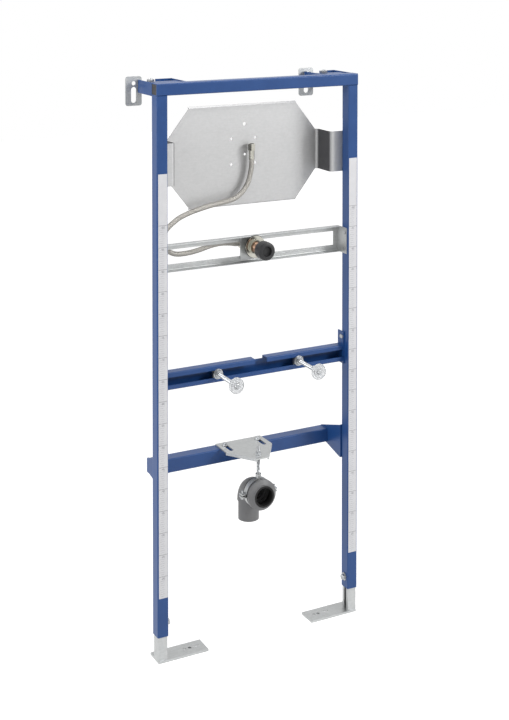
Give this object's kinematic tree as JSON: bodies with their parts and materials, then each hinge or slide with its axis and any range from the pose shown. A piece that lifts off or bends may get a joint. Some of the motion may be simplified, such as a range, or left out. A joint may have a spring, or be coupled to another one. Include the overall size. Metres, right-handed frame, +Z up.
{
  "type": "urinal installation frame",
  "caption": "Steel in-wall frame on telescopic legs with wall plates, flush valve and hose, slotted rail with studs, and a clamped drain bend",
  "frame": {"origin": "on the back face of the left wall plate, 3 mm above the middle of its lower edge; the floor is 1263 mm below", "axes": "+X to the right seen from the front, +Y from the front towards the wall, +Z up"},
  "size_m": [0.56, 0.207, 1.328],
  "materials": {
    "blue_paint": "semi-gloss blue powder coat",
    "galvanised_sheet": "satin galvanised sheet",
    "zinc_hardware": "bright zinc-plated steel",
    "nickel": "nickel-plated brass",
    "brass_thread": "dull copper-brown brass",
    "hose_braid": "stainless braid over a rubber hose",
    "black_plastic": "moulded black plastic",
    "black_rubber": "soft black rubber",
    "grey_plastic": "moulded grey drain plastic",
    "white_print": "printed white strip",
    "clear_plastic": "translucent white plastic"
  },
  "bodies": {
    "frame": {"left_upright": "blue_paint", "right_upright": "blue_paint", "top_bar": "blue_paint", "left_cradle": "blue_paint", "right_cradle": "blue_paint", "fixing_rail": "blue_paint", "drain_crossbar": "blue_paint", "left_wall_plate": "galvanised_sheet", "right_wall_plate": "galvanised_sheet", "valve_plate": "galvanised_sheet", "valve_rail": "galvanised_sheet", "valve_carrier": "galvanised_sheet", "drain_bracket": "galvanised_sheet", "pipe_clamp": "galvanised_sheet", "left_clamp_screw": "zinc_hardware", "right_clamp_screw": "zinc_hardware", "bracket_bolts": "zinc_hardware", "valve_plate_screws": "zinc_hardware", "valve_rail_screws": "zinc_hardware", "fixing_rail_screws": "zinc_hardware", "left_stud": "zinc_hardware", "right_stud": "zinc_hardware", "stud_nuts": "zinc_hardware", "drain_crossbar_screws": "zinc_hardware", "drain_bracket_bolts": "zinc_hardware", "hanger_rod": "zinc_hardware", "hanger_nuts": "zinc_hardware", "clamp_screws": "zinc_hardware", "valve_body": "nickel", "valve_flange": "nickel", "hose_inlet_nut": "nickel", "hose_end_nut": "nickel", "valve_thread": "brass_thread", "supply_hose": "hose_braid", "top_bar_plugs": "black_plastic", "valve_cap": "black_plastic", "clamp_rubber": "black_rubber", "drain_seal": "black_rubber", "drain_bend": "grey_plastic", "left_rule": "white_print", "right_rule": "white_print", "stud_caps": "clear_plastic"},
    "left_leg": {"left_leg": "galvanised_sheet"},
    "right_leg": {"right_leg": "galvanised_sheet"}
  },
  "joints": [
    {"name": "left_leg_slide", "type": "slide", "parent": "frame", "child": "left_leg", "axis": [0, 0, -1], "range_m": [-0.05, 0.15]},
    {"name": "right_leg_slide", "type": "slide", "parent": "frame", "child": "right_leg", "axis": [0, 0, -1], "range_m": [-0.05, 0.15]}
  ]
}
